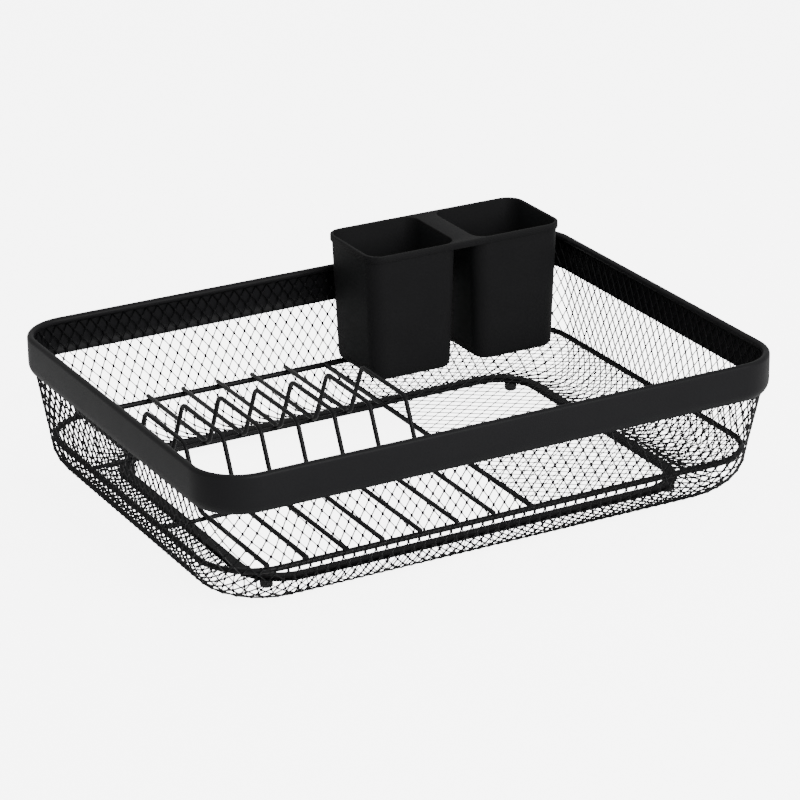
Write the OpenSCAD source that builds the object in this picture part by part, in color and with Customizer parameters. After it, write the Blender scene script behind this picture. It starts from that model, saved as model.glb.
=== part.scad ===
// Dish drying rack: a basket of expanded metal hung in a folded steel rim band, with a lift-out
// wire plate rack and a lift-out cutlery holder. Millimetres, +Z up. The origin lies on the
// counter under the middle of the basket. X runs along the length and -Y is the front.

/* [Rim] */
// Outside length of the rim
rim_length = 420; // [380:5:500]
// Outside width of the rim
rim_width = 312; // [290:1:380]
// Height of the rim's top above the counter
rim_height = 102; // [90:1:130]
// Outside radius of the rim's corners, seen from above
rim_corner_r = 34; // [30:1:45]
// Height of the band, from its lower edge to the top of the bead
band_height = 26.5; // [20:0.5:35]
// Thickness of the band's steel strip
band_t = 0.9; // [0.6:0.1:1.2]
// Outside diameter of the rolled bead along the top of the band
bead_d = 5; // [4.5:0.1:6]
// Diameter of the wire inside the bead
rim_wire_d = 3; // [2:0.1:3.2]
// Radius of the turned-in lower edge of the band
turn_in_r = 10; // [8:0.5:12]

/* [Basket mesh] */
// Thickness of the expanded metal
mesh_t = 1; // [0.8:0.1:1.4]
// How far the mesh lies in from the rim's outside where it leaves the band
mesh_inset_band = 3.6; // [3.2:0.1:5]
// How far the mesh lies in from the rim's outside where the wall starts to curve
mesh_inset_wall = 7.6; // [6:0.1:10]
// Height above the counter where the wall starts to curve inwards
mesh_curve_z = 31; // [27:0.5:36]
// Outside corner radius of the mesh where the wall starts to curve
mesh_corner_r = 42; // [38:1:48]
// Height of the lowest point of the mesh above the counter
mesh_low_z = 4.7; // [3.5:0.1:6]

/* [Base] */
// How far the folded hem round the open base lies in from the rim's outside, along X
base_inset_x = 46.2; // [45:0.1:60]
// How far the hem lies in from the rim's outside, along Y
base_inset_y = 38.5; // [36:0.1:50]
// Outside corner radius of the hem
base_corner_r = 34; // [28:1:40]
// Width of the folded hem
hem_w = 8; // [7:0.5:10]
// Thickness of the folded hem
hem_t = 3.4; // [2.8:0.1:4]
// Depth of mesh held in the hem
hem_grip = 2.6; // [2:0.1:2.8]
// Diameter of each foot
foot_d = 8.5; // [7:0.1:10]
// Height of each foot, from the counter to the underside of the hem
foot_h = 5.6; // [5:0.1:8]
// Diameter of a foot's stem
foot_stem_d = 3; // [2.4:0.1:3.2]
// Clearance round a foot's stem in its hole
foot_stem_gap = 0.1; // [0.05:0.05:0.2]

/* [Plate rack] */
// Diameter of the rack's outer ring wire
ring_d = 4; // [3:0.1:4.5]
// Height of the ring's centre above the counter
ring_z = 31.2; // [31:0.1:36]
// Gap between the ring and the basket mesh
ring_gap = 0.6; // [0.5:0.1:1.5]
// Diameter of the rail that parts the plate side from the mesh side
rail_d = 3.6; // [3:0.1:4]
// Distance from the last divider to that rail
rail_gap = 30.3; // [20:0.1:40]
// Diameter of the two cross wires under the dividers
cross_d = 3; // [2.4:0.1:3.6]
// How far past the legs' lower bends the cross wires lie
cross_gap = 2; // [1:0.1:6]
// Thickness of the mesh panel
panel_t = 1; // [0.8:0.1:1.4]
// Depth that crossing wires sink into each other where they are welded
weld_sink = 0.1; // [0.05:0.05:0.15]

/* [Dividers] */
// Number of plate dividers
divider_count = 7; // [3:1:7]
// Distance from the ring's centre to the first divider
divider_start = 29.5; // [25:0.1:32]
// Distance from one divider to the next
divider_pitch = 26.7; // [22:0.1:27]
// Diameter of the divider wire
divider_d = 3.2; // [2.5:0.1:3.6]
// Height of a divider's top above its foot, between wire centres
divider_rise = 40; // [30:1:50]
// Half the length of a divider's top, between the centres of its bends
divider_top_half = 30; // [20:1:36]
// Half the distance between the feet of a divider's legs
divider_foot_half = 49; // [44:1:50]
// Bend radius of the divider wire's centre line
divider_bend_r = 7; // [5:0.5:9]
// How far a divider's ends pass the centre of the ring
divider_overhang = 1.8; // [0:0.1:2]

/* [Cutlery holder] */
// Length of the holder's lip
lip_length = 154.8; // [130:0.1:156]
// Width of the holder's lip
lip_width = 70.2; // [60:0.1:71]
// Height of the holder from its underside to its top
holder_h = 93.2; // [70:0.1:120]
// Distance from the end of the lip to the ring's centre
holder_end_gap = 19; // [17:0.1:24]
// Distance from the back of the lip to the rim's outside
holder_back_gap = 6.7; // [6.5:0.1:20]
// Corner radius of the lip
lip_corner_r = 12.5; // [9:0.5:14]
// Height of the lip's turned-down edge
lip_h = 4.7; // [3:0.1:8]
// How far the lip stands out past the cups
lip_overhang = 1.1; // [0.8:0.1:3]
// Thickness of the holder's top web
web_t = 2; // [1.5:0.1:3]
// Wall thickness of the cups
cup_wall = 1.4; // [1.2:0.1:2.5]
// Gap between the two cups under the web
cup_gap = 13.2; // [8:0.1:20]
// How much a cup narrows from top to bottom, on each side along X
cup_taper_x = 3; // [1:0.1:4]
// How much a cup narrows from top to bottom, on each side along Y
cup_taper_y = 1.6; // [1:0.1:4]
// Radius of the rounded edge round a cup's bottom
cup_bottom_r = 5; // [3:0.5:8]
// Diameter of the drain holes
drain_d = 6; // [4:0.5:8]
// Height of the small feet under the cups
cup_foot_h = 2; // [1:0.1:3]
// Gap between the holder and the panel it stands on
stand_gap = 0.3; // [0.3:0.1:0.5]

/* [Hidden] */

steel_black = "#2b2b2d";
wire_black = "#242426";
rubber_black = "#1d1d1e";
plastic_black = "#1e1e1f";

$fn = 48;
corner_steps = 8;
curve_steps = 6;
rise_steps = 3;

rim_half_x = rim_length / 2;
rim_half_y = rim_width / 2;
bead_r = bead_d / 2;
bead_z = rim_height - bead_r;
band_low_z = rim_height - band_height;

hem_half_x = rim_half_x - base_inset_x;
hem_half_y = rim_half_y - base_inset_y;
hem_z = foot_h + hem_t / 2;

ring_r = ring_d / 2;
mesh_top_z = rim_height - bead_d;
ring_inset = mesh_inset_wall + mesh_t + ring_gap + ring_r;
ring_half_x = rim_half_x - ring_inset;
ring_half_y = rim_half_y - ring_inset;
ring_corner_r = mesh_corner_r - mesh_t - ring_gap - ring_r;
ring_top_z = ring_z + ring_r;
divider_z = ring_top_z + divider_d / 2 - weld_sink;
cross_z = divider_z - divider_d / 2 - cross_d / 2 + weld_sink;
panel_z = ring_top_z - weld_sink;
rail_x = -ring_half_x + divider_start + (divider_count - 1) * divider_pitch + rail_gap;

holder_z = panel_z + panel_t + stand_gap;
cup_z = holder_z + cup_foot_h;
holder_x = ring_half_x - holder_end_gap - lip_length / 2;
holder_y = rim_half_y - holder_back_gap - lip_width / 2;
cups_length = lip_length - 2 * lip_overhang;
cup_top_x = (cups_length - cup_gap) / 2;
cup_top_y = lip_width - 2 * lip_overhang;
cup_offset = (cup_top_x + cup_gap) / 2;
cup_corner_r = lip_corner_r - lip_overhang;
drain_ring_r = 16;
hem_lead = 2;

// Sweeps a profile round a rounded rectangle. The profile's x is the distance outwards from the
// outline, and its y is the height.
module around(half_x, half_y, r) {
    for (side = [0 : 3]) {
        across = side % 2 == 0 ? half_x : half_y;
        along = (side % 2 == 0 ? half_y : half_x) - r;
        rotate([0, 0, 90 * side]) {
            translate([across, along, 0]) rotate([90, 0, 0]) linear_extrude(2 * along) children();
            translate([across - r, along, 0]) rotate_extrude(angle = 90) translate([r, 0]) children();
        }
    }
}

// A flat plate with rounded corners, centred on the origin and standing on z = 0.
module rounded_plate(length, width, r, thickness) {
    linear_extrude(thickness) rounded_outline(length, width, r);
}

module rounded_outline(length, width, r) {
    square([length - 2 * r, width], center = true);
    square([length, width - 2 * r], center = true);
    for (x = [-1, 1]) {
        for (y = [-1, 1]) {
            translate([x * (length / 2 - r), y * (width / 2 - r)]) circle(r = r);
        }
    }
}

// ---- Rim ----

// The strip's section: a bead round the rim wire, a flat skirt, and a turned-in lower edge.
module rim_section() {
    turn_z = band_low_z + turn_in_r * sin(turn_in_angle());
    translate([-bead_r, bead_z]) difference() {
        circle(r = bead_r);
        circle(r = bead_r - band_t);
    }
    translate([-band_t, turn_z]) square([band_t, bead_z - turn_z]);
    translate([-turn_in_r, turn_z]) intersection() {
        difference() {
            circle(r = turn_in_r);
            circle(r = turn_in_r - band_t);
        }
        polygon([
            [0, 0], [2 * turn_in_r, 0],
            2 * turn_in_r * [cos(turn_in_angle()), -sin(turn_in_angle())],
        ]);
    }
}

// The edge turns in until it meets the mesh.
function turn_in_angle() = acos(1 - (mesh_inset_band - band_t) / (turn_in_r - band_t));

module rim_band() {
    color(steel_black) around(rim_half_x, rim_half_y, rim_corner_r) rim_section();
}

module rim_wire() {
    color(wire_black) around(rim_half_x, rim_half_y, rim_corner_r)
        translate([-bead_r, bead_z]) circle(r = rim_wire_d / 2);
}

// ---- Basket mesh ----

// Stations down the middle of the sheet: [inset in X, inset in Y, corner radius, height].
mesh_mid = mesh_t / 2;
top_inset = band_t + mesh_mid;
low_inset_x = (mesh_inset_wall + rim_half_x - hem_half_x) / 2 + 5;
low_inset_y = (mesh_inset_wall + rim_half_y - hem_half_y) / 2 + 5;

function blend(a, b, share) = a + (b - a) * share;

wall_stations = [
    [top_inset, top_inset, rim_corner_r - top_inset, mesh_top_z],
    [mesh_inset_band + mesh_mid, mesh_inset_band + mesh_mid,
        rim_corner_r - mesh_inset_band / 2, band_low_z],
    [mesh_inset_wall + mesh_mid, mesh_inset_wall + mesh_mid,
        mesh_corner_r - mesh_mid, mesh_curve_z],
];
curve_stations = [
    for (i = [1 : curve_steps])
        let (a = 90 * i / curve_steps)
        [
            blend(mesh_inset_wall + mesh_mid, low_inset_x, 1 - cos(a)),
            blend(mesh_inset_wall + mesh_mid, low_inset_y, 1 - cos(a)),
            blend(mesh_corner_r - mesh_mid, base_corner_r + 2, 1 - cos(a)),
            blend(mesh_curve_z, mesh_low_z, sin(a)),
        ],
];
rise_stations = [
    for (i = [1 : rise_steps])
        let (share = i / rise_steps)
        [
            blend(low_inset_x, rim_half_x - hem_half_x - hem_lead, share),
            blend(low_inset_y, rim_half_y - hem_half_y - hem_lead, share),
            blend(base_corner_r + 2, base_corner_r + hem_lead, share),
            blend(mesh_low_z, hem_z, (1 - cos(180 * share)) / 2),
        ],
];
// The sheet runs level into the hem.
edge_stations = [
    for (into = [-hem_lead / 2, hem_grip])
        [
            rim_half_x - hem_half_x + into, rim_half_y - hem_half_y + into,
            base_corner_r - into, hem_z,
        ],
];
stations = concat(wall_stations, curve_stations, rise_stations, edge_stations);
last_station = len(stations) - 1;

// The direction across the sheet at a station, as [inwards, upwards].
function sheet_across(i) =
    let (
        before = stations[max(i - 1, 0)],
        after = stations[min(i + 1, last_station)],
        run = [after[0] - before[0], after[3] - before[3]]
    )
    i == last_station ? [0, 1] : [-run[1], run[0]] / norm(run);

function sheet_loop(i, side) =
    let (s = stations[i], move = side * mesh_mid * sheet_across(i))
    rounded_loop(
        rim_half_x - s[0] - move[0], rim_half_y - s[1] - move[0], s[2] - move[0], s[3] + move[1]
    );

function rounded_loop(half_x, half_y, r, z) = [
    for (q = [0 : 3])
        for (i = [0 : corner_steps])
            let (
                a = 90 * (q + i / corner_steps),
                x = (q == 0 || q == 3 ? 1 : -1) * (half_x - r),
                y = (q < 2 ? 1 : -1) * (half_y - r)
            )
            [x + r * cos(a), y + r * sin(a), z],
];

// Skins a closed tube of loops with triangles.
module loop_skin(loops) {
    count = len(loops);
    size = len(loops[0]);
    function at(i, k) = (i % count) * size + k % size;
    polyhedron(
        points = [for (loop = loops) each loop],
        faces = [
            for (i = [0 : count - 1])
                for (k = [0 : size - 1])
                    each [
                        [at(i, k), at(i, k + 1), at(i + 1, k + 1)],
                        [at(i, k), at(i + 1, k + 1), at(i + 1, k)],
                    ],
        ]
    );
}

module basket_mesh() {
    color(steel_black) loop_skin(concat(
        [for (i = [0 : last_station]) sheet_loop(i, -1)],
        [for (i = [last_station : -1 : 0]) sheet_loop(i, 1)]
    ));
}

// ---- Base hem and feet ----

// A strip folded over the cut edge of the mesh, with its fold on the inside.
module hem_section() {
    difference() {
        union() {
            translate([-hem_w + hem_t / 2, hem_z]) circle(r = hem_t / 2);
            translate([-hem_w + hem_t / 2, foot_h]) square([hem_w - hem_t / 2, hem_t]);
        }
        translate([-hem_grip, hem_z - mesh_mid]) square([hem_grip + 1, mesh_t]);
    }
}

// Where a foot stands: in the middle of a corner of the hem, clear of the mesh in the fold.
foot_reach = base_corner_r - (hem_grip + hem_w) / 2 + 0.7;
foot_x = hem_half_x - base_corner_r + foot_reach * cos(45);
foot_y = hem_half_y - base_corner_r + foot_reach * sin(45);

module base_hem() {
    color(steel_black) difference() {
        around(hem_half_x, hem_half_y, base_corner_r) hem_section();
        for (x = [-foot_x, foot_x]) {
            for (y = [-foot_y, foot_y]) {
                translate([x, y, foot_h - 1]) cylinder(d = foot_stem_d + 2 * foot_stem_gap, h = hem_t + 2);
            }
        }
    }
}

// A push-in foot: a pad with a rounded edge, a stem through the hem, and a head that holds it.
module foot(x, y) {
    pad_r = foot_d / 2;
    edge_r = 1.2;
    head_h = 1.2;
    translate([x, y, 0]) rotate_extrude() {
        square([pad_r - edge_r, foot_h]);
        translate([0, edge_r]) square([pad_r, foot_h - edge_r]);
        intersection() {
            translate([pad_r - edge_r, edge_r]) circle(r = edge_r);
            square([pad_r, foot_h]);
        }
        translate([0, foot_h]) square([foot_stem_d / 2, hem_t]);
        translate([0, foot_h + hem_t]) square([foot_stem_d / 2 + 1, head_h]);
    }
}

module foot_front_left() {
    color(rubber_black) foot(-foot_x, -foot_y);
}

module foot_front_right() {
    color(rubber_black) foot(foot_x, -foot_y);
}

module foot_back_left() {
    color(rubber_black) foot(-foot_x, foot_y);
}

module foot_back_right() {
    color(rubber_black) foot(foot_x, foot_y);
}

// ---- Plate rack ----

module rack_ring() {
    color(wire_black) around(ring_half_x, ring_half_y, ring_corner_r)
        translate([0, ring_z]) circle(r = ring_r);
}

// The rail's ends meet the inside of the ring, and its top is level with the ring's.
module rack_rail() {
    reach = ring_half_y - ring_r + weld_sink;
    color(wire_black) translate([rail_x, reach, ring_top_z - rail_d / 2]) rotate([90, 0, 0])
        cylinder(d = rail_d, h = 2 * reach);
}

// A cross wire runs from the ring to the rail.
module cross_wire(y) {
    start_x = -ring_half_x + ring_r - weld_sink;
    end_x = rail_x - rail_d / 2 + weld_sink;
    color(wire_black) translate([start_x, y, cross_z]) rotate([0, 90, 0])
        cylinder(d = cross_d, h = end_x - start_x);
}

module cross_wire_back() {
    cross_wire(cross_y);
}

module cross_wire_front() {
    cross_wire(-cross_y);
}

// The panel lies on the ring and on the rail, and reaches to the middle of each.
module mesh_panel() {
    color(steel_black) translate([0, 0, panel_z]) intersection() {
        rounded_plate(2 * ring_half_x, 2 * ring_half_y, ring_corner_r, panel_t);
        translate([rail_x, -ring_half_y - 1, -1])
            cube([ring_half_x - rail_x + 1, 2 * ring_half_y + 2, panel_t + 2]);
    }
}

// ---- Plate dividers ----

// How far from the middle the ring's centre is, along Y, at a place along X.
function ring_y(x) =
    let (past = max(abs(x) - (ring_half_x - ring_corner_r), 0))
    ring_half_y - ring_corner_r + sqrt(ring_corner_r * ring_corner_r - past * past);

// Each half of a divider runs out along its top, down its leg and out along its foot.
bend_lap = 0.2;
bend_swell = 0.02;
divider_bend = atan2(divider_rise, divider_foot_half - divider_top_half);
divider_setback = divider_bend_r * tan(divider_bend / 2);
cross_y = divider_foot_half + divider_setback + cross_gap;
function divider_runs(x) = [
    divider_top_half - divider_setback,
    norm([divider_rise, divider_foot_half - divider_top_half]) - 2 * divider_setback,
    ring_y(x) + divider_overhang - divider_foot_half - divider_setback,
];

// A wire that starts along +X and is bent by the same angle after each run, first to one side
// and then to the other. The bends are a hair thicker, and the runs end inside them.
module zigzag_wire(runs, bend, r, d, i = 0) {
    before = i == 0 ? 0 : bend_lap;
    after = i == len(runs) - 1 ? 0 : bend_lap;
    translate([-before, 0, 0]) rotate([0, 90, 0]) cylinder(d = d, h = before + runs[i] + after);
    if (after > 0) {
        translate([runs[i], r, 0]) rotate([0, 0, -90]) {
            rotate_extrude(angle = bend) translate([r, 0]) circle(d = d + bend_swell);
            rotate([0, 0, bend]) translate([r, 0, 0]) rotate([0, 0, 90]) mirror([0, 1, 0])
                zigzag_wire(runs, bend, r, d, i + 1);
        }
    }
}

// Divider number n, counted from the left. Its feet end just past the ring.
module plate_divider(n) {
    x = -ring_half_x + divider_start + (n - 1) * divider_pitch;
    if (n <= divider_count) {
        color(wire_black) translate([x, 0, divider_z + divider_rise])
            for (end = [-90, 90]) {
                rotate([-90, 0, end])
                    zigzag_wire(divider_runs(x), divider_bend, divider_bend_r, divider_d);
            }
    }
}

// ---- Cutlery holder ----

// A tapered cup, hulled from rounded levels: [height, inset in X, inset in Y, corner radius].
module cup_body(levels) {
    hull() {
        for (level = levels) {
            for (x = [-1, 1]) {
                for (y = [-1, 1]) {
                    translate([
                        x * (cup_top_x / 2 - level[1] - level[3]),
                        y * (cup_top_y / 2 - level[2] - level[3]),
                        level[0],
                    ])
                        cylinder(r = level[3], h = 0.01, $fn = 32);
                }
            }
        }
    }
}

// Levels of a cup's outside, or of its inside when the wall is given.
function cup_levels(wall, floor_z, top_z) =
    let (
        edge = cup_bottom_r - wall,
        narrow_x = cup_taper_x + wall,
        narrow_y = cup_taper_y + wall,
        r = cup_corner_r - wall
    )
    [
        [floor_z, narrow_x + edge, narrow_y + edge, r - edge],
        [floor_z + 0.13 * edge, narrow_x + edge / 2, narrow_y + edge / 2, r - edge / 2],
        [floor_z + 0.5 * edge, narrow_x + 0.13 * edge, narrow_y + 0.13 * edge, r - 0.13 * edge],
        [floor_z + edge, narrow_x, narrow_y, r],
        [top_z, wall, wall, r],
    ];

module cup_drains() {
    translate([0, 0, -1]) cylinder(d = drain_d, h = cup_wall + 2);
    for (i = [0 : 5]) {
        rotate([0, 0, 60 * i]) translate([drain_ring_r, 0, -1]) cylinder(d = drain_d, h = cup_wall + 2);
    }
}

// Small round feet that lift a cup off the panel so that it drains.
module cup_feet() {
    for (x = [-1, 1]) {
        for (y = [-1, 1]) {
            translate([x * cup_top_x / 4, y * cup_top_y / 4 * 1.3, -cup_foot_h])
                cylinder(d = 5, h = cup_foot_h + cup_wall / 2);
        }
    }
}

// The web joins the cups at the top, and its edge turns down all round as a lip.
module holder_top() {
    translate([0, 0, holder_h - web_t]) rounded_plate(lip_length, lip_width, lip_corner_r, web_t);
    translate([0, 0, holder_h - lip_h]) linear_extrude(lip_h) difference() {
        rounded_outline(lip_length, lip_width, lip_corner_r);
        rounded_outline(
            lip_length - 2 * lip_overhang - 1, lip_width - 2 * lip_overhang - 1,
            lip_corner_r - lip_overhang - 0.5
        );
    }
}

module cutlery_holder() {
    color(plastic_black) translate([holder_x, holder_y, cup_z]) {
        difference() {
            union() {
                holder_top();
                for (x = [-cup_offset, cup_offset]) {
                    translate([x, 0, 0]) cup_body(cup_levels(0, 0, holder_h - web_t / 2));
                }
            }
            for (x = [-cup_offset, cup_offset]) {
                translate([x, 0, 0]) {
                    cup_body(cup_levels(cup_wall, cup_wall, holder_h + 1));
                    cup_drains();
                }
            }
        }
        for (x = [-cup_offset, cup_offset]) {
            translate([x, 0, 0]) cup_feet();
        }
    }
}

rim_band();
rim_wire();
basket_mesh();
base_hem();
foot_front_left();
foot_front_right();
foot_back_left();
foot_back_right();
rack_ring();
rack_rail();
cross_wire_back();
cross_wire_front();
mesh_panel();
plate_divider(1);  // plate_divider_1
plate_divider(2);  // plate_divider_2
plate_divider(3);  // plate_divider_3
plate_divider(4);  // plate_divider_4
plate_divider(5);  // plate_divider_5
plate_divider(6);  // plate_divider_6
plate_divider(7);  // plate_divider_7
cutlery_holder();
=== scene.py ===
import math

import bmesh
import bpy
from mathutils import Matrix, Vector


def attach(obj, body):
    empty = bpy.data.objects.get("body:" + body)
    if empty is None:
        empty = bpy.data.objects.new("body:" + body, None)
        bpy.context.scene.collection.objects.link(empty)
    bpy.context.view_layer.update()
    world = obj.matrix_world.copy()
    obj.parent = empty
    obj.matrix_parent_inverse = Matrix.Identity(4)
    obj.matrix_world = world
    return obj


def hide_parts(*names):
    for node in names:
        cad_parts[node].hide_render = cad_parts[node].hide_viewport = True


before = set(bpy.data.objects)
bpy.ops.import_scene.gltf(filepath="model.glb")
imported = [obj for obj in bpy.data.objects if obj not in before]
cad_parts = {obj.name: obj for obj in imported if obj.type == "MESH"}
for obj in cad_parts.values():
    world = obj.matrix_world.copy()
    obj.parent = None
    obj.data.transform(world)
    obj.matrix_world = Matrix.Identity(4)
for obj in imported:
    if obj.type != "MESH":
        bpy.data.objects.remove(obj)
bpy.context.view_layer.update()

X, Y, Z = Vector((1, 0, 0)), Vector((0, 1, 0)), Vector((0, 0, 1))
MM = 0.001

# ---- Camera, floor and light ----
# The rack stands on a plain white sweep. A long lens looks down at it from the front left.
camera_turn = math.radians(-28.44)
camera_rise = math.radians(22.10)
camera_roll = math.radians(-0.72)
camera_distance = 2.2278
aim = Vector((0, 0, 0.0999))
aim_across = -0.00344
aim_up = 0.03784

towards = Vector((
    math.sin(camera_turn) * math.cos(camera_rise),
    -math.cos(camera_turn) * math.cos(camera_rise),
    math.sin(camera_rise),
))
level = Vector((math.cos(camera_turn), math.sin(camera_turn), 0))
over = towards.cross(level)
right = level * math.cos(camera_roll) + over * math.sin(camera_roll)
up = over * math.cos(camera_roll) - level * math.sin(camera_roll)
camera = bpy.data.objects.new("camera", bpy.data.cameras.new("camera"))
camera.data.lens = 150.8
camera.data.sensor_width = 36
camera.data.clip_end = 50
place = Matrix((right, up, towards)).transposed().to_4x4()
place.translation = aim + towards * camera_distance - right * aim_across - up * aim_up
camera.matrix_world = place
bpy.context.scene.collection.objects.link(camera)
bpy.context.scene.camera = camera


def soft_light(name, position, size, power):
    """A square studio light that faces the rack."""
    data = bpy.data.lights.new(name, "AREA")
    data.size = size
    data.energy = power
    lamp = bpy.data.objects.new(name, data)
    lamp.location = position
    facing = (Vector((0, 0, 0.05)) - lamp.location).to_track_quat("-Z", "Y")
    lamp.rotation_mode = "QUATERNION"
    lamp.rotation_quaternion = facing
    bpy.context.scene.collection.objects.link(lamp)


soft_light("top_light", (0.1, 0.3, 2.2), 1.8, 14)
soft_light("front_light", (0.5, -2.4, 1.3), 1.6, 110)
soft_light("left_light", (-2.2, -0.3, 1.1), 1.2, 0.5)

world = bpy.data.worlds.new("studio")
world.use_nodes = True
world.node_tree.nodes["Background"].inputs["Color"].default_value = (1, 1, 1, 1)
world.node_tree.nodes["Background"].inputs["Strength"].default_value = 1.0
bpy.context.scene.world = world


# ---- Rim ----
# A strip of steel folded round the top of the basket: a bead rolled round a wire, a flat skirt,
# and a lower edge that turns in to meet the mesh. The strip and the mesh are powder-coated
# together in satin black.
rim_half_x = 210 * MM
rim_half_y = 156 * MM
rim_corner = 34 * MM
rim_top = 102 * MM
bead_radius = 2.5 * MM
strip = 0.9 * MM
turn_in = 10 * MM
turn_in_angle = math.radians(45.3)
band_low = 75.5 * MM


class Pen:
    """Draws a section in the XZ plane, as a chain of edges."""

    def __init__(self, mesh, x, z):
        self.mesh = mesh
        self.first = self.tip = bmesh.ops.create_vert(mesh, co=(x, 0, z))["vert"][0]

    def line(self, x, z):
        made = bmesh.ops.extrude_vert_indiv(self.mesh, verts=[self.tip])
        self.tip = made["verts"][0]
        self.tip.co = (x, 0, z)

    def arc(self, x, z, angle, steps):
        """Turns about (x, z). A positive angle goes from +X towards +Z."""
        made = bmesh.ops.spin(
            self.mesh, geom=[self.tip], cent=(x, 0, z), axis=-Y, angle=math.radians(angle), steps=steps
        )
        self.tip = next(g for g in made["geom_last"] if isinstance(g, bmesh.types.BMVert))

    def close(self):
        self.mesh.edges.new((self.tip, self.first))


def extrude_on(mesh, edges, move):
    """Draws a chain of edges out along a straight move, and returns the chain at its end."""
    made = bmesh.ops.extrude_edge_only(mesh, edges=edges)["geom"]
    ends = {g for g in made if isinstance(g, bmesh.types.BMVert)}
    bmesh.ops.translate(mesh, verts=list(ends), vec=move)
    return [g for g in made if isinstance(g, bmesh.types.BMEdge) and set(g.verts) <= ends]


def spin_on(mesh, edges, centre, axis, angle, steps):
    """Draws a chain of edges round a bend, and returns the chain at its end."""
    verts = list({v for e in edges for v in e.verts})
    made = bmesh.ops.spin(
        mesh, geom=verts + edges, cent=centre, axis=axis, angle=angle, steps=steps
    )
    return [g for g in made["geom_last"] if isinstance(g, bmesh.types.BMEdge)]


def sweep_around(mesh, half_x, half_y, corner, steps=12):
    """Carries a section, drawn outwards from x = 0, once round a rounded rectangle."""
    edges = list(mesh.edges)
    bmesh.ops.translate(mesh, verts=mesh.verts, vec=(half_x, -(half_y - corner), 0))
    run = Y.copy()
    out = X.copy()
    for side in range(4):
        length = 2 * ((half_y if side % 2 == 0 else half_x) - corner)
        edges = extrude_on(mesh, edges, run * length)
        centre = Vector((
            (half_x - corner) * (1 if side in (0, 3) else -1),
            (half_y - corner) * (1 if side < 2 else -1),
            0,
        ))
        edges = spin_on(mesh, edges, centre, Z, math.radians(90), steps)
        run, out = -out, run
    bmesh.ops.remove_doubles(mesh, verts=mesh.verts, dist=0.001 * MM)
    bmesh.ops.recalc_face_normals(mesh, faces=mesh.faces)


def finished(name, mesh, material, body, slot, *nodes, crease=35):
    """Makes a piece from its mesh, smooth except at its creases, in place of CAD nodes."""
    data = bpy.data.meshes.new(name)
    mesh.to_mesh(data)
    mesh.free()
    for face in data.polygons:
        face.use_smooth = True
    data.set_sharp_from_angle(angle=math.radians(crease))
    data.materials.append(material)
    piece = bpy.data.objects.new(name, data)
    bpy.context.scene.collection.objects.link(piece)
    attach(piece, body)
    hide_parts(*nodes)
    return piece


class Value:
    """An output in a material's nodes. Arithmetic on it adds Math nodes."""

    def __init__(self, tree, socket):
        self.tree = tree
        self.socket = socket

    def node(self, kind, settings, inputs, output=0):
        """Adds a node, with its settings first and then its inputs' values or links."""
        made = self.tree.nodes.new(kind)
        for key, value in settings.items():
            setattr(made, key, value)
        for key, value in inputs.items():
            if isinstance(value, Value):
                self.tree.links.new(value.socket, made.inputs[key])
            else:
                made.inputs[key].default_value = value
        return Value(self.tree, made.outputs[output])

    def maths(self, operation, first, second):
        return self.node("ShaderNodeMath", {"operation": operation}, {0: first, 1: second})

    def __add__(self, other):
        return self.maths("ADD", self, other)

    def __sub__(self, other):
        return self.maths("SUBTRACT", self, other)

    def __mul__(self, other):
        return self.maths("MULTIPLY", self, other)


def finish_of(name, dark, light, rough, rough_spread, grain, bump, specular=0.5):
    """A coated or moulded surface: fine grain, soft patches of tone, and a sheen that varies.
    The grain's size is in metres. A low index of refraction keeps black surfaces black edge-on."""
    material = bpy.data.materials.new(name)
    material.use_nodes = True
    tree = material.node_tree
    shader = tree.nodes["Principled BSDF"]
    shader.inputs["Specular IOR Level"].default_value = specular
    shader.inputs["IOR"].default_value = 1.28
    start = Value(tree, None)
    place = start.node("ShaderNodeTexCoord", {}, {}, "Object")
    fine = start.node(
        "ShaderNodeTexNoise", {}, {"Vector": place, "Scale": 1 / grain, "Detail": 3.0, "Roughness": 0.6}
    )
    broad = start.node("ShaderNodeTexNoise", {}, {"Vector": place, "Scale": 38.0, "Detail": 4.0})
    tone = fine * 0.55 + broad * 0.45
    colour = start.node(
        "ShaderNodeMix", {"data_type": "RGBA"}, {"Factor": tone, "A": (*dark, 1), "B": (*light, 1)},
        "Result",
    )
    sheen = (fine * 0.5 + broad * 0.5 - 0.5) * rough_spread + rough
    raised = start.node(
        "ShaderNodeBump", {}, {"Strength": bump, "Distance": grain * 0.5, "Height": fine}
    )
    tree.links.new(colour.socket, shader.inputs["Base Color"])
    tree.links.new(sheen.socket, shader.inputs["Roughness"])
    tree.links.new(raised.socket, shader.inputs["Normal"])
    return material


coat_dark = (0.0028, 0.0028, 0.0032)
coat_light = (0.0062, 0.0062, 0.0068)
strip_coat = finish_of(
    "satin_powder_coat", coat_dark, coat_light, 0.5, 0.16, 0.5 * MM, 0.25, 0.2
)

turn_z = band_low + turn_in * math.sin(turn_in_angle)
bead_z = rim_top - bead_radius
curl = 300
mesh = bmesh.new()
pen = Pen(
    mesh, -turn_in * (1 - math.cos(turn_in_angle)), turn_z - turn_in * math.sin(turn_in_angle)
)
pen.arc(-turn_in, turn_z, math.degrees(turn_in_angle), 6)
pen.line(0, bead_z)
pen.arc(-bead_radius, bead_z, curl, 20)
pen.line(
    -bead_radius + (bead_radius - strip) * math.cos(math.radians(curl)),
    bead_z + (bead_radius - strip) * math.sin(math.radians(curl)),
)
pen.arc(-bead_radius, bead_z, -curl, 20)
pen.line(-strip, turn_z)
pen.arc(-turn_in, turn_z, -math.degrees(turn_in_angle), 6)
pen.close()
sweep_around(mesh, rim_half_x, rim_half_y, rim_corner, steps=16)
finished("rim_strip", mesh, strip_coat, "basket", "coated_strip", "rim_band")

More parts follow.
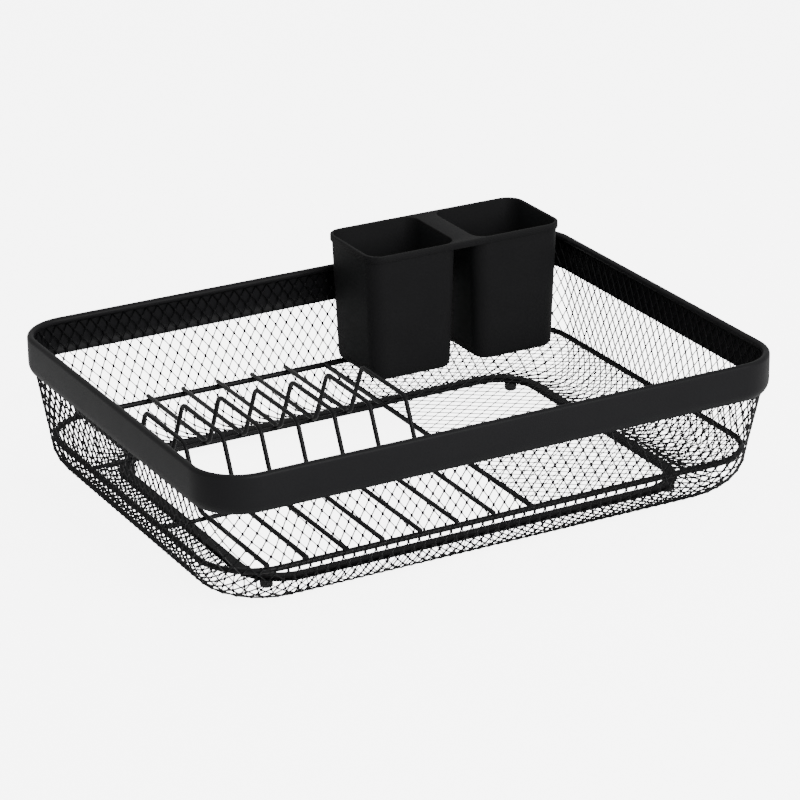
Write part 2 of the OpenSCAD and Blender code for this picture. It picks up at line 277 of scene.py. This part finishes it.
# The wire inside the bead is drawn steel, and only its coat would ever be seen.
wire_coat = finish_of(
    "satin_wire_coat", coat_dark, coat_light, 0.36, 0.14, 0.4 * MM, 0.2, 0.22
)
rim_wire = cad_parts["rim_wire"]
rim_wire.data.materials.clear()
rim_wire.data.materials.append(wire_coat)


# ---- Basket ----
# Expanded steel: a sheet slit in rows and pulled open into upright diamonds. Each strand is a
# narrow ribbon that leans like a slat, and neighbours join at short thick bonds. The sheet is
# wrapped into a tray, with its upper edge in the rim and its lower edge in the hem.
diamond_w = 8.3 * MM
diamond_h = 12.2 * MM
strand = 0.7 * MM
sheet_thickness = 1.15 * MM
slat_lean = math.radians(24)
bond_w = 0.95 * MM
bond_h = 1.5 * MM
bond_t = 0.45 * MM

wall_curve_z = 31 * MM
wall_low_z = 4.7 * MM
# The middle of the sheet, as its distance in from the rim's outside and its corner radius: at its
# top edge, where it leaves the band, and down the wall.
sheet_top_inset = 1.5 * MM
sheet_top_corner = 32.6 * MM
sheet_top_z = 96.6 * MM
sheet_band_inset = 4.1 * MM
sheet_band_corner = 32.2 * MM
sheet_wall_inset = 8.1 * MM
sheet_wall_corner = 41.5 * MM
wall_face_inset = 7.6 * MM
# The lowest line of the sheet lies this much further in than half way from the wall to the hem.
low_extra = 5 * MM
low_corner_extra = 2 * MM
# Diamonds are shared out round the rim by its straights, which end this far from its corners, and
# by an arc of this radius at each corner.
straight_end = 37 * MM
shared_arc = 33 * MM
hem_half_x = 163.8 * MM
hem_half_y = 117.5 * MM
hem_corner = 34 * MM
hem_middle_z = 7.3 * MM
hem_grip = 2.2 * MM


def mix(a, b, share):
    return a + (b - a) * share


def wall_line():
    """Stations down the middle of the sheet: half length, half width, corner radius, height."""
    out = sheet_wall_inset
    corner = sheet_wall_corner
    low_x = mix(wall_face_inset, rim_half_x - hem_half_x, 0.5) + low_extra
    low_y = mix(wall_face_inset, rim_half_y - hem_half_y, 0.5) + low_extra
    low_corner = hem_corner + low_corner_extra
    line = [
        (sheet_top_inset, sheet_top_inset, sheet_top_corner, sheet_top_z),
        (sheet_band_inset, sheet_band_inset, sheet_band_corner, band_low),
        (out, out, corner, wall_curve_z),
    ]
    for i in range(1, 13):
        angle = math.radians(90 * i / 12)
        share = 1 - math.cos(angle)
        line.append((
            mix(out, low_x, share), mix(out, low_y, share), mix(corner, low_corner, share),
            mix(wall_curve_z, wall_low_z, math.sin(angle)),
        ))
    for i in range(1, 6):
        share = i / 5
        rise = (1 - math.cos(math.pi * share)) / 2
        line.append((
            mix(low_x, rim_half_x - hem_half_x, share), mix(low_y, rim_half_y - hem_half_y, share),
            mix(low_corner, hem_corner, share), mix(wall_low_z, hem_middle_z, rise),
        ))
    line.append((
        rim_half_x - hem_half_x + hem_grip, rim_half_y - hem_half_y + hem_grip,
        hem_corner - hem_grip, hem_middle_z,
    ))
    return [(rim_half_x - a, rim_half_y - b, r, z) for a, b, r, z in line]


def round_point(half_x, half_y, corner, share):
    """A point on a rounded rectangle and its outward direction, by a share of the way round the
    rim's own outline, so that the diamonds stand upright on the straight walls."""
    arc = shared_arc * math.pi / 2
    straight_x = 2 * (rim_half_x - straight_end)
    straight_y = 2 * (rim_half_y - straight_end)
    lengths = (straight_y, arc, straight_x, arc)
    way = (share % 1.0) * 2 * sum(lengths)
    for part in range(8):
        length = lengths[part % 4]
        if way <= length or part == 7:
            break
        way -= length
    t = way / length
    side = part // 2
    if part % 2 == 0:
        reach = (half_y if side % 2 == 0 else half_x) - corner
        across = half_x if side % 2 == 0 else half_y
        point, out = Vector((across, mix(-reach, reach, t))), Vector((1, 0))
    else:
        reach = (half_y if side % 2 == 0 else half_x) - corner
        across = (half_x if side % 2 == 0 else half_y) - corner
        out = Vector((math.cos(t * math.pi / 2), math.sin(t * math.pi / 2)))
        point = Vector((across, reach)) + out * corner
    turn = Matrix.Rotation(side * math.pi / 2, 2)
    return turn @ point, turn @ out


line = wall_line()
way_down = [0.0]
for a, b in zip(line, line[1:]):
    way_down.append(way_down[-1] + math.hypot(b[0] - a[0], b[3] - a[3]))
wall_length = way_down[-1]


def on_wall(share, depth, out):
    """Where a point of the flat sheet comes to lie on the basket's wall."""
    depth = min(max(depth, 0.0), wall_length)
    i = 0
    while i < len(line) - 2 and way_down[i + 1] < depth:
        i += 1
    t = (depth - way_down[i]) / (way_down[i + 1] - way_down[i])
    here = [mix(line[i][k], line[i + 1][k], t) for k in range(4)]
    point, outward = round_point(here[0], here[1], here[2], share)
    inward = line[i][0] - line[i + 1][0]
    drop = line[i][3] - line[i + 1][3]
    size = math.hypot(inward, drop)
    flat = outward * (drop / size) * out
    return Vector((point.x + flat.x, point.y + flat.y, here[3] - inward / size * out))


def diamonds(mesh):
    """Turns a grid of oblongs into diamonds: a point is set in each oblong, and the oblongs' own
    sides are taken away."""
    sides = list(mesh.edges)
    bmesh.ops.poke(mesh, faces=mesh.faces)
    inner = [e for e in sides if e.is_valid and len(e.link_faces) == 2]
    bmesh.ops.dissolve_edges(mesh, edges=inner, use_verts=False)


def with_links(verts):
    """The points with every edge and face that they belong to."""
    edges = {e for v in verts for e in v.link_edges}
    faces = {f for v in verts for f in v.link_faces}
    return [*verts, *edges, *faces]


def strands(mesh, width):
    """Opens each face of a sheet, so that its sides are left as strands."""
    bmesh.ops.wireframe(
        mesh, faces=mesh.faces, thickness=width, offset=0, use_replace=True,
        use_boundary=True, use_even_offset=True, use_relative_offset=False, use_crease=False,
    )


perimeter = (
    2 * (2 * (rim_half_x - straight_end) + 2 * (rim_half_y - straight_end)) + shared_arc * 2 * math.pi
)
columns = round(perimeter / diamond_w)
rows = round(wall_length / diamond_h)
drum = columns * diamond_w / (2 * math.pi)
cell_h = wall_length / rows

# The sheet is made on a drum as tall as the wall, and is then laid on the wall.
mesh = bmesh.new()
bmesh.ops.create_grid(mesh, x_segments=columns, y_segments=rows, size=0.5)
for v in mesh.verts:
    angle = 2 * math.pi * (v.co.x + 0.5)
    v.co = (drum * math.cos(angle), drum * math.sin(angle), (v.co.y + 0.5) * wall_length)
bmesh.ops.remove_doubles(mesh, verts=mesh.verts, dist=0.01 * MM)
diamonds(mesh)
bmesh.ops.recalc_face_normals(mesh, faces=mesh.faces)
strands(mesh, strand)
sheet_verts = set(mesh.verts)

bond = bmesh.ops.create_icosphere(mesh, subdivisions=1, radius=1)["verts"]
bmesh.ops.scale(mesh, verts=bond, vec=(bond_t, bond_w, bond_h))
bmesh.ops.translate(mesh, verts=bond, vec=(drum, 0, 0))
bmesh.ops.spin(
    mesh, geom=with_links(bond), cent=(0, 0, 0), axis=Z, angle=2 * math.pi * (columns - 1) / columns,
    steps=columns - 1, use_duplicate=True,
)
first_row = [v for v in mesh.verts if v not in sheet_verts]
row_geom = with_links(first_row)
for row in range(1, 2 * rows):
    made = bmesh.ops.duplicate(mesh, geom=row_geom)["geom"]
    verts = [g for g in made if isinstance(g, bmesh.types.BMVert)]
    bmesh.ops.rotate(
        mesh, verts=verts, cent=(0, 0, 0), matrix=Matrix.Rotation((row % 2) * math.pi / columns, 3, "Z")
    )
    bmesh.ops.translate(mesh, verts=verts, vec=(0, 0, row * cell_h / 2))
bmesh.ops.delete(mesh, geom=first_row, context="VERTS")

for v in mesh.verts:
    share = math.atan2(v.co.y, v.co.x) / (2 * math.pi)
    height = v.co.z
    out = (math.hypot(v.co.x, v.co.y) - drum) * sheet_thickness / strand
    # Every second row of bonds is half a column across. The metal leans like a slat at each bond:
    # outwards on one side and inwards on the other.
    column = share * columns - (0.5 if round(height / (cell_h / 2)) % 2 else 0.0)
    aside = (column - round(column)) * diamond_w
    aside = max(-strand, min(strand, aside))
    out += aside * math.tan(slat_lean)
    v.co = on_wall(share, wall_length - height, out)
mesh_coat = finish_of(
    "satin_mesh_coat", coat_dark, coat_light, 0.36, 0.14, 0.4 * MM, 0.2, 0.25
)
finished("basket_wall", mesh, mesh_coat, "basket", "coated_mesh", "basket_mesh", crease=50)


# ---- Base hem ----
# A steel strip folded flat over the cut edge of the mesh, with the fold on the inside. The base
# inside it is open, so water falls through.
hem_width = 8 * MM
hem_thickness = 3.4 * MM
foot_height = 5.6 * MM
hem_slot = 1.0 * MM
fold = hem_thickness / 2

mesh = bmesh.new()
pen = Pen(mesh, 0, hem_middle_z + fold)
pen.line(-hem_width + fold, hem_middle_z + fold)
pen.arc(-hem_width + fold, hem_middle_z, 180, 10)
pen.line(0, hem_middle_z - fold)
pen.line(0, hem_middle_z - hem_slot / 2)
pen.line(-hem_grip, hem_middle_z - hem_slot / 2)
pen.line(-hem_grip, hem_middle_z + hem_slot / 2)
pen.line(0, hem_middle_z + hem_slot / 2)
pen.close()
sweep_around(mesh, hem_half_x, hem_half_y, hem_corner)
finished("folded_hem", mesh, strip_coat, "basket", "coated_strip", "base_hem")


# ---- Feet ----
# Small round rubber feet pushed into holes at the hem's corners. Each has a pad, a stem through
# the hem, and a flat head with a dimple where the tool pushed it in.
rubber = finish_of(
    "foot_rubber", (0.014, 0.014, 0.0145), (0.026, 0.026, 0.027), 0.62, 0.12, 0.6 * MM, 0.3
)
foot_x = 150.59 * MM
foot_y = 104.29 * MM
pad_radius = 4.25 * MM
pad_edge = 1.2 * MM
stem_radius = 1.5 * MM
head_radius = 2.5 * MM
dimple = 1.1 * MM

for node, x, y in (
    ("foot_front_left", -foot_x, -foot_y), ("foot_front_right", foot_x, -foot_y),
    ("foot_back_left", -foot_x, foot_y), ("foot_back_right", foot_x, foot_y),
):
    hem_top = foot_height + hem_thickness
    mesh = bmesh.new()
    pen = Pen(mesh, 0, 0.7 * MM)
    pen.line(dimple * 0.7, 0.7 * MM)
    pen.line(dimple, 0)
    pen.line(pad_radius - pad_edge, 0)
    pen.arc(pad_radius - pad_edge, pad_edge, 90, 4)
    pen.line(pad_radius, foot_height - 0.4 * MM)
    pen.line(pad_radius - 0.4 * MM, foot_height)
    pen.line(stem_radius, foot_height)
    pen.line(stem_radius, hem_top)
    pen.line(head_radius, hem_top)
    pen.line(head_radius, hem_top + 0.8 * MM)
    pen.line(head_radius - 0.4 * MM, hem_top + 1.2 * MM)
    pen.line(dimple, hem_top + 1.2 * MM)
    pen.line(dimple * 0.6, hem_top + 0.5 * MM)
    pen.line(0, hem_top + 0.5 * MM)
    bmesh.ops.spin(
        mesh, geom=[*mesh.verts, *mesh.edges], cent=(0, 0, 0), axis=Z, angle=2 * math.pi,
        steps=24, use_merge=True,
    )
    bmesh.ops.remove_doubles(mesh, verts=mesh.verts, dist=0.001 * MM)
    bmesh.ops.recalc_face_normals(mesh, faces=mesh.faces)
    bmesh.ops.translate(mesh, verts=mesh.verts, vec=(x, y, 0))
    finished(node + "_rubber", mesh, rubber, "basket", "foot_rubber", node)


# ---- Plate rack ----
# A loose frame of welded wire that rests in the basket: a ring that follows the wall, a rail that
# parts the plate side from the panel side, and two lighter wires under the dividers.
ring_half_x = 198.8 * MM
ring_half_y = 144.8 * MM
ring_corner = 38.4 * MM
ring_radius = 2 * MM
ring_z = 31.2 * MM
rail_radius = 1.8 * MM
rail_x = 21.2 * MM
cross_radius = 1.5 * MM
cross_y = 55.43 * MM
weld = 0.1 * MM
divider_radius = 1.6 * MM
divider_z = ring_z + ring_radius + divider_radius - weld
cross_z = divider_z - divider_radius - cross_radius + weld

mesh = bmesh.new()
bmesh.ops.create_circle(
    mesh, segments=18, radius=ring_radius,
    matrix=Matrix.Translation((0, 0, ring_z)) @ Matrix.Rotation(math.pi / 2, 4, "X"),
)
sweep_around(mesh, ring_half_x, ring_half_y, ring_corner, steps=14)
finished("ring_wire", mesh, wire_coat, "rack", "coated_wire", "rack_ring")


def wire(mesh, start, heading, steps, radius, axis):
    """Draws a wire from start: a number in steps is a straight run, and a pair is a bend's angle
    and radius about the axis. Its cut ends are closed and slightly rounded."""
    place = Matrix.Translation(start) @ heading.to_track_quat("Z", "Y").to_matrix().to_4x4()
    ring = bmesh.ops.create_circle(mesh, segments=16, radius=radius, matrix=place)["verts"]
    edges = list({e for v in ring for e in v.link_edges})
    ends = [edges]
    at = start.copy()
    for step in steps:
        if isinstance(step, tuple):
            angle, bend = step
            side = Matrix.Rotation(math.copysign(math.pi / 2, angle), 3, axis) @ heading
            centre = at + side * bend
            edges = spin_on(mesh, edges, centre, axis, angle, 7)
            turn = Matrix.Rotation(angle, 3, axis)
            at = centre + turn @ (at - centre)
            heading = turn @ heading
        else:
            edges = extrude_on(mesh, edges, heading * step)
            at = at + heading * step
    ends.append(edges)
    for loop in ends:
        bmesh.ops.contextual_create(mesh, geom=loop)
    bmesh.ops.bevel(
        mesh, geom=[e for loop in ends for e in loop], offset=radius * 0.3, offset_type="OFFSET",
        segments=2, profile=0.5, affect="EDGES", material=-1,
    )
    bmesh.ops.recalc_face_normals(mesh, faces=mesh.faces)


reach = ring_half_y - ring_radius + weld
mesh = bmesh.new()
wire(mesh, Vector((rail_x, reach, ring_z + ring_radius - rail_radius)), -Y, [2 * reach], rail_radius, X)
finished("rail_wire", mesh, wire_coat, "rack", "coated_wire", "rack_rail")

for node, y in (("cross_wire_back", cross_y), ("cross_wire_front", -cross_y)):
    from_x = -ring_half_x + ring_radius - weld
    to_x = rail_x - rail_radius + weld
    mesh = bmesh.new()
    wire(mesh, Vector((from_x, y, cross_z)), X, [to_x - from_x], cross_radius, Z)
    finished(node + "_rod", mesh, wire_coat, "rack", "coated_wire", node)


# ---- Plate dividers ----
# Each divider is one bent wire: low feet that are welded on top of the ring and the cross wires,
# and a raised middle that keeps plates apart.
divider_start = 29.5 * MM
divider_pitch = 26.7 * MM
divider_rise = 40 * MM
divider_top_half = 30 * MM
divider_foot_half = 49 * MM
divider_bend = 7 * MM
divider_overhang = 1.8 * MM
lean = math.atan2(divider_rise, divider_foot_half - divider_top_half)
setback = divider_bend * math.tan(lean / 2)
leg_run = math.hypot(divider_rise, divider_foot_half - divider_top_half) - 2 * setback
top_run = 2 * (divider_top_half - setback)

for n in range(1, 8):
    x = -ring_half_x + divider_start + (n - 1) * divider_pitch
    past = max(abs(x) - (ring_half_x - ring_corner), 0)
    divider_end = ring_half_y - ring_corner + math.sqrt(ring_corner ** 2 - past ** 2) + divider_overhang
    foot_run = divider_end - divider_foot_half - setback
    mesh = bmesh.new()
    wire(
        mesh, Vector((x, divider_end, divider_z)), -Y,
        [
            foot_run, (-lean, divider_bend), leg_run, (lean, divider_bend), top_run,
            (lean, divider_bend), leg_run, (-lean, divider_bend), foot_run,
        ],
        divider_radius, X,
    )
    finished(f"divider_wire_{n}", mesh, wire_coat, "rack", "coated_wire", f"plate_divider_{n}")


# ---- Mesh panel ----
# A flat piece of the same expanded metal, welded on top of the ring and the rail. Its diamonds
# lie along the rack, and its edges end on the wires.
panel_z = ring_z + ring_radius - weld
panel_thickness = 0.6 * MM
panel_columns = 15
panel_rows = 35
panel_strand = 0.4 * MM
panel_bond_w = 0.5 * MM
panel_bond_t = 0.35 * MM
panel_edge_clear = 2 * MM
panel_length = ring_half_x - rail_x
panel_cell_x = panel_length / panel_columns
panel_cell_y = 2 * ring_half_y / panel_rows


def onto_ring(x, y):
    """The nearest place to (x, y) that isn't past the middle of the ring's wire."""
    x, y = min(max(x, rail_x), ring_half_x), min(max(y, -ring_half_y), ring_half_y)
    past = Vector((x - (ring_half_x - ring_corner), abs(y) - (ring_half_y - ring_corner)))
    if past.x > 0 and past.y > 0 and past.length > ring_corner:
        past = past.normalized() * ring_corner
        x = ring_half_x - ring_corner + past.x
        y = math.copysign(ring_half_y - ring_corner + past.y, y)
    return x, y


mesh = bmesh.new()
bmesh.ops.create_grid(mesh, x_segments=panel_columns, y_segments=panel_rows, size=0.5)
bmesh.ops.scale(mesh, verts=mesh.verts, vec=(panel_length, 2 * ring_half_y, 1))
bmesh.ops.translate(mesh, verts=mesh.verts, vec=(rail_x + panel_length / 2, 0, 0))
diamonds(mesh)
outside = [
    f for f in mesh.faces
    if (Vector(onto_ring(*f.calc_center_median()[:2])) - f.calc_center_median().xy).length > 1 * MM
]
bmesh.ops.delete(mesh, geom=outside, context="FACES")
for v in mesh.verts:
    v.co.x, v.co.y = onto_ring(v.co.x, v.co.y)
bmesh.ops.recalc_face_normals(mesh, faces=mesh.faces)
strands(mesh, panel_strand)
bond = bmesh.ops.create_icosphere(mesh, subdivisions=1, radius=1)["verts"]
bmesh.ops.scale(mesh, verts=bond, vec=(bond_h, panel_bond_w, panel_bond_t))
bond_geom = with_links(bond)
for j in range(1, 2 * panel_rows):
    shift = 0.5 if j % 2 else 0.0
    for i in range(panel_columns + 1):
        x = rail_x + (i + shift) * panel_cell_x
        y = -ring_half_y + j * panel_cell_y / 2
        if x > ring_half_x - panel_edge_clear or x < rail_x + panel_edge_clear:
            continue
        near = onto_ring(x, y)
        if math.hypot(near[0] - x, near[1] - y) > 0.1 * MM:
            continue
        made = bmesh.ops.duplicate(mesh, geom=bond_geom)["geom"]
        verts = [g for g in made if isinstance(g, bmesh.types.BMVert)]
        bmesh.ops.translate(mesh, verts=verts, vec=(x, y, 0))
bmesh.ops.delete(mesh, geom=bond, context="VERTS")
for v in mesh.verts:
    v.co.z = v.co.z * panel_thickness / panel_strand + panel_z + panel_thickness / 2
finished("panel_mesh", mesh, mesh_coat, "rack", "coated_mesh", "mesh_panel", crease=50)


# ---- Cutlery holder ----
# One matt black moulding: two tapered cups joined by a flat web at the top, whose outer edge turns
# down as a lip. The real cups stand on small feet so that they drain, but those feet are not drawn.
holder_x = 102.4 * MM
holder_y = 114.2 * MM
cup_z = 36.4 * MM
holder_h = 93.2 * MM
lip_length = 154.8 * MM
lip_width = 70.2 * MM
lip_corner = 12.5 * MM
lip_h = 4.7 * MM
lip_overhang = 1.1 * MM
web = 2 * MM
cup_wall = 1.4 * MM
cup_gap = 13.2 * MM
cup_length = (lip_length - 2 * lip_overhang - cup_gap) / 2
cup_width = lip_width - 2 * lip_overhang
cup_offset = (cup_length + cup_gap) / 2
taper_x = 3 * MM
taper_y = 1.6 * MM
bottom_edge = 5 * MM
edge = 0.6 * MM
# The lip's underside rises this much towards the cups. If it were level, bridge_loops would close
# the cups with a hidden face.
lip_tuck = 0.05 * MM


def outline(mesh, centre_x, length, width, corner, z):
    """A rounded oblong of edges at height z."""
    loop = bmesh.ops.create_grid(mesh, x_segments=1, y_segments=1, size=0.5)["verts"]
    bmesh.ops.scale(mesh, verts=loop, vec=(length, width, 1))
    made = bmesh.ops.bevel(
        mesh, geom=loop, offset=corner, offset_type="OFFSET", segments=8, profile=0.5,
        affect="VERTICES", material=-1,
    )
    verts = list({v for v in made["verts"]})
    bmesh.ops.translate(mesh, verts=verts, vec=(centre_x, 0, z))
    face = next(f for v in verts for f in v.link_faces)
    edges = list(face.edges)
    bmesh.ops.delete(mesh, geom=[face], context="FACES_ONLY")
    return edges


def skin(mesh, loops):
    """Joins a run of outlines with walls."""
    for a, b in zip(loops, loops[1:]):
        bmesh.ops.bridge_loops(mesh, edges=a + b)


def cup_side(mesh, x, inset, floor, top):
    """The outlines of a cup's outside or inside, from its floor up to the height top."""
    edge_r = bottom_edge - inset
    loops = []
    for i in range(7):
        angle = math.radians(90 * i / 6)
        inwards = edge_r * (1 - math.sin(angle))
        loops.append(outline(
            mesh, x, cup_length - 2 * (inset + taper_x + inwards),
            cup_width - 2 * (inset + taper_y + inwards),
            lip_corner - lip_overhang - inset - inwards, floor + edge_r * (1 - math.cos(angle)),
        ))
    loops.append(outline(
        mesh, x, cup_length - 2 * inset, cup_width - 2 * inset, lip_corner - lip_overhang - inset, top
    ))
    return loops


mesh = bmesh.new()
top_loops = []
under_loops = []
for x in (-cup_offset, cup_offset):
    inside = cup_side(mesh, x, cup_wall, cup_wall, holder_h - edge)
    for i in range(1, 4):
        angle = math.radians(90 * i / 3)
        grow = edge * (1 - math.cos(angle))
        inside.append(outline(
            mesh, x, cup_length - 2 * cup_wall + 2 * grow, cup_width - 2 * cup_wall + 2 * grow,
            lip_corner - lip_overhang - cup_wall + grow, holder_h - edge + edge * math.sin(angle),
        ))
    outside = cup_side(mesh, x, 0, 0, holder_h - web)
    skin(mesh, inside)
    skin(mesh, outside)
    for floor in (inside[0], outside[0]):
        bmesh.ops.contextual_create(mesh, geom=floor)
    top_loops.append(inside[-1])
    under_loops.append(outside[-1])

lip_loops = []
for shrink, z in (
    (edge, holder_h), (edge * 0.5, holder_h - edge * 0.13), (edge * 0.13, holder_h - edge * 0.5),
    (0, holder_h - edge), (0, holder_h - lip_h + edge * 0.6),
    (edge * 0.2, holder_h - lip_h + edge * 0.2), (edge * 0.6, holder_h - lip_h),
    (lip_overhang - lip_tuck, holder_h - lip_h + lip_tuck),
    (lip_overhang - lip_tuck, holder_h - web),
):
    lip_loops.append(outline(
        mesh, 0, lip_length - 2 * shrink, lip_width - 2 * shrink, lip_corner - shrink, z
    ))
skin(mesh, lip_loops)
bmesh.ops.triangle_fill(mesh, use_beauty=True, edges=lip_loops[0] + top_loops[0] + top_loops[1])
bmesh.ops.triangle_fill(mesh, use_beauty=True, edges=lip_loops[-1] + under_loops[0] + under_loops[1])
bmesh.ops.recalc_face_normals(mesh, faces=mesh.faces)
bmesh.ops.translate(mesh, verts=mesh.verts, vec=(holder_x, holder_y, cup_z))
plastic = finish_of(
    "matt_moulded_plastic", (0.0045, 0.0045, 0.0048), (0.008, 0.008, 0.0084),
    0.6, 0.12, 0.35 * MM, 0.35, 0.12,
)
finished("twin_cup_holder", mesh, plastic, "holder", "moulded_plastic", "cutlery_holder")


# ---- Floor ----
# A plain white board, large enough to fill the view. It glows to the camera alone: that keeps it
# white in the view, and its glow doesn't light the rack.
floor_glow = 5.5
floor_mesh = bmesh.new()
bmesh.ops.create_grid(floor_mesh, x_segments=1, y_segments=1, size=6)
floor_data = bpy.data.meshes.new("floor")
floor_mesh.to_mesh(floor_data)
floor_mesh.free()
board = finish_of("white_board", (0.86, 0.86, 0.86), (0.9, 0.9, 0.9), 0.8, 0.05, 20 * MM, 0.02)
seen = board.node_tree.nodes.new("ShaderNodeLightPath").outputs["Is Camera Ray"]
board_shader = board.node_tree.nodes["Principled BSDF"]
board.node_tree.links.new(seen, board_shader.inputs["Emission Color"])
board_shader.inputs["Emission Strength"].default_value = floor_glow
floor_data.materials.append(board)
floor = bpy.data.objects.new("floor", floor_data)
bpy.context.scene.collection.objects.link(floor)
